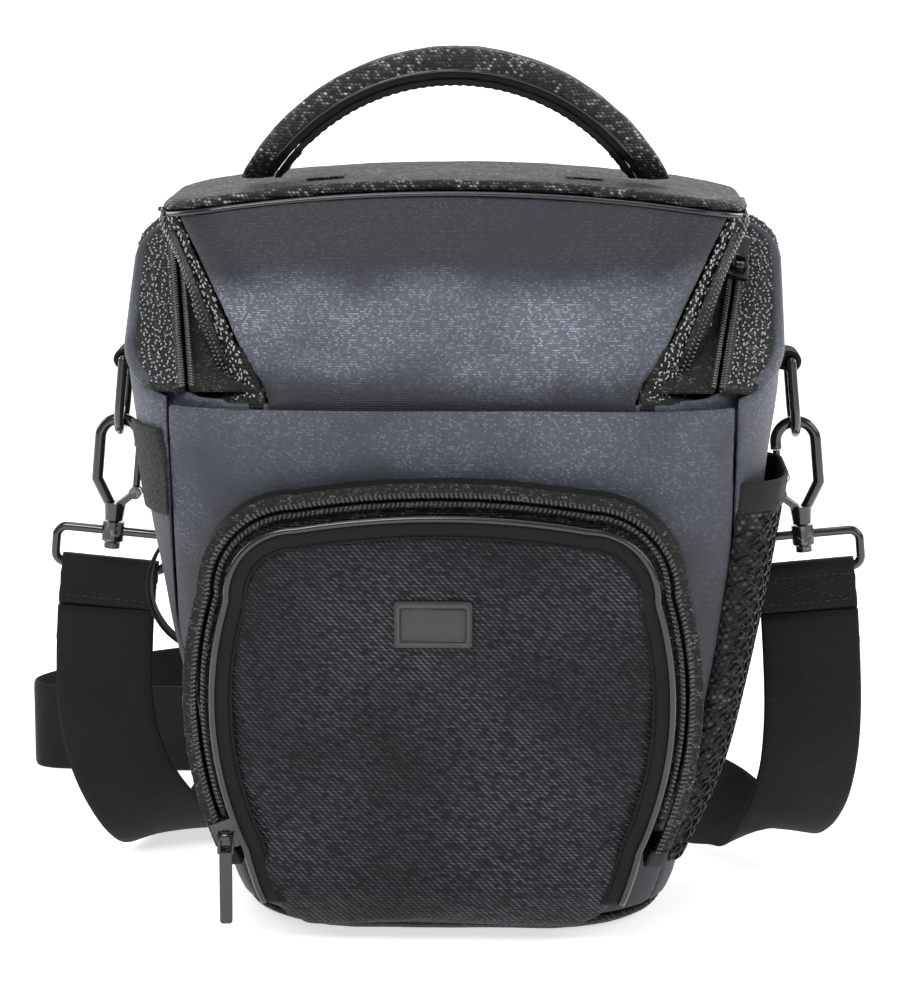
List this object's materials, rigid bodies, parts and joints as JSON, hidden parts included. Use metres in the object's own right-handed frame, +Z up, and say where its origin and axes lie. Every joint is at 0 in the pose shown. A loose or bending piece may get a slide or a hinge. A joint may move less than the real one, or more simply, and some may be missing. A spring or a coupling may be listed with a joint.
{
  "type": "camera bag",
  "caption": "Toploader camera bag with a zipped lid, padded front pocket, carry handle and clip-on shoulder strap.",
  "frame": {"origin": "on the floor under the middle of the bag's base panel", "axes": "+Z up, +Y to the bag's back (the belt-loop side), +X to the right seen from the front"},
  "size_m": [0.3519, 0.327, 0.327],
  "materials": {
    "slate_nylon": "satin coated nylon, slate blue-grey",
    "black_weave": "coarse black ballistic weave",
    "black_webbing": "fine twill webbing, black",
    "zip_tape": "woven zip tape with coil",
    "piping": "smooth piping",
    "mesh": "stretch net",
    "elastic": "ribbed elastic",
    "foam": "closed-cell foam under brushed lining",
    "lining": "brushed grey lining",
    "loop_tape": "fuzzy loop tape",
    "enamel_metal": "black enamel, glossy",
    "moulded_plastic": "moulded black acetal",
    "rubber_badge": "soft rubber, blank",
    "glossy_pull": "smooth moulded pull",
    "zip_grey_tab": "grey cover fabric"
  },
  "bodies": {
    "bag": {"accessory_loop": "black_webbing", "back_pad": "black_weave", "back_panel": "slate_nylon", "base_panel": "black_weave", "belt_loop": "black_webbing", "dring_tabs": "black_webbing", "front_cover": "slate_nylon", "front_wall": "slate_nylon", "lens_divider": "lining", "liner_back": "lining", "liner_base": "lining", "liner_front": "lining", "liner_sides": "lining", "loop_tape_patch": "loop_tape", "main_zip_body_half": "zip_tape", "mesh_hem": "elastic", "mesh_pocket": "mesh", "pocket_gusset": "black_weave", "pocket_lower_panel": "black_weave", "pocket_zip_outer": "zip_tape", "side_panel_left": "slate_nylon", "side_panel_right": "slate_nylon", "strap_left": "black_webbing", "strap_right": "black_webbing", "zip_end_tabs": "zip_grey_tab"},
    "lid": {"lid_front_panel": "slate_nylon", "lid_side_band_left": "black_weave", "lid_side_band_right": "black_weave", "lid_back_strip": "black_weave", "lid_top_panel": "black_weave", "lid_foam": "foam", "lid_piping": "piping", "expansion_zips": "zip_tape", "main_zip_lid_half": "zip_tape", "handle_anchors": "black_webbing"},
    "handle": {"handle_cover": "black_weave", "handle_core": "foam", "handle_base_strip": "black_webbing"},
    "pocket_flap": {"pocket_zip_inner": "zip_tape", "pocket_flap_panel": "black_weave", "pocket_flap_binding": "piping", "pocket_badge": "rubber_badge"},
    "pocket_slider": {"pocket_slider": "enamel_metal"},
    "pocket_pull": {"pocket_pull": "glossy_pull"},
    "main_slider": {"main_slider": "enamel_metal"},
    "main_pull": {"main_pull": "glossy_pull"},
    "adjuster": {"strap_adjuster": "moulded_plastic"},
    "d_ring_left": {"d_ring_left": "enamel_metal"},
    "ring_left": {"strap_ring_left": "enamel_metal", "strap_fold_left": "black_webbing"},
    "hook_left": {"hook_body_left": "enamel_metal"},
    "gate_left": {"hook_gate_left": "enamel_metal"},
    "d_ring_right": {"d_ring_right": "enamel_metal"},
    "ring_right": {"strap_ring_right": "enamel_metal", "strap_fold_right": "black_webbing"},
    "hook_right": {"hook_body_right": "enamel_metal"},
    "gate_right": {"hook_gate_right": "enamel_metal"}
  },
  "joints": [
    {"name": "lid_hinge", "type": "hinge", "parent": "bag", "child": "lid", "pos_m": [0, -0.055, 0.2053], "axis": [1, 0, 0], "range_deg": [0, 105]},
    {"name": "handle_hinge", "type": "hinge", "parent": "lid", "child": "handle", "pos_m": [0, -0.004, 0.2844], "axis": [1, 0, 0], "range_deg": [-50, 50]},
    {"name": "pocket_flap_hinge", "type": "hinge", "parent": "bag", "child": "pocket_flap", "pos_m": [-0.003, -0.06885, 0.0494], "axis": [1, 0, 0], "range_deg": [0, 40]},
    {"name": "pocket_slider_run", "type": "hinge", "parent": "bag", "child": "pocket_slider", "pos_m": [0.051, -0.06608, 0.09414], "axis": [0, 0.9972, 0.0748], "range_deg": [0, 34]},
    {"name": "pocket_pull_swing", "type": "hinge", "parent": "pocket_slider", "child": "pocket_pull", "pos_m": [-0.08267, -0.06837, 0.04302], "axis": [-1, 0, 0], "range_deg": [-2, 100]},
    {"name": "main_slider_run", "type": "slide", "parent": "lid", "child": "main_slider", "axis": [-0.1287, -0.894, -0.4291], "range_m": [-0.003, 0.066]},
    {"name": "main_pull_swing", "type": "hinge", "parent": "main_slider", "child": "main_pull", "pos_m": [0.10729, 0.01463, 0.2443], "axis": [0.9578, 0, -0.2873], "range_deg": [0, 150]},
    {"name": "adjuster_run", "type": "slide", "parent": "bag", "child": "adjuster", "axis": [-0.9873, 0.1587, 0], "range_m": [-0.015, 0.015]},
    {"name": "ring_left_swing", "type": "hinge", "parent": "bag", "child": "ring_left", "pos_m": [-0.128, 0.028, 0.207], "axis": [0, 1, 0], "range_deg": [0, 50], "deforming": ["strap_left"]},
    {"name": "d_ring_left_swing", "type": "hinge", "parent": "bag", "child": "d_ring_left", "pos_m": [-0.128, 0.028, 0.207], "axis": [0, 1, 0], "range_deg": [0, 50]},
    {"name": "hook_left_swivel", "type": "hinge", "parent": "ring_left", "child": "hook_left", "pos_m": [-0.13471, 0.028, 0.13732], "axis": [0.0958, 0, 0.9954], "range_deg": [-25, 25]},
    {"name": "gate_left_hinge", "type": "hinge", "parent": "hook_left", "child": "gate_left", "pos_m": [-0.12541, 0.028, 0.15351], "axis": [0, -1, 0], "range_deg": [0, 24], "stiffness_Nm_per_rad": 0.01},
    {"name": "ring_right_swing", "type": "hinge", "parent": "bag", "child": "ring_right", "pos_m": [0.128, 0.028, 0.207], "axis": [0, -1, 0], "range_deg": [0, 50], "deforming": ["strap_right"]},
    {"name": "d_ring_right_swing", "type": "hinge", "parent": "bag", "child": "d_ring_right", "pos_m": [0.128, 0.028, 0.207], "axis": [0, -1, 0], "range_deg": [0, 50]},
    {"name": "hook_right_swivel", "type": "hinge", "parent": "ring_right", "child": "hook_right", "pos_m": [0.13471, 0.028, 0.13732], "axis": [-0.0958, 0, 0.9954], "range_deg": [-25, 25]},
    {"name": "gate_right_hinge", "type": "hinge", "parent": "hook_right", "child": "gate_right", "pos_m": [0.12541, 0.028, 0.15351], "axis": [0, 1, 0], "range_deg": [0, 24], "stiffness_Nm_per_rad": 0.01}
  ],
  "couplings": [
    {"joint": "d_ring_left_swing", "follows": "ring_left_swing", "ratio": 1},
    {"joint": "d_ring_right_swing", "follows": "ring_right_swing", "ratio": 1}
  ]
}
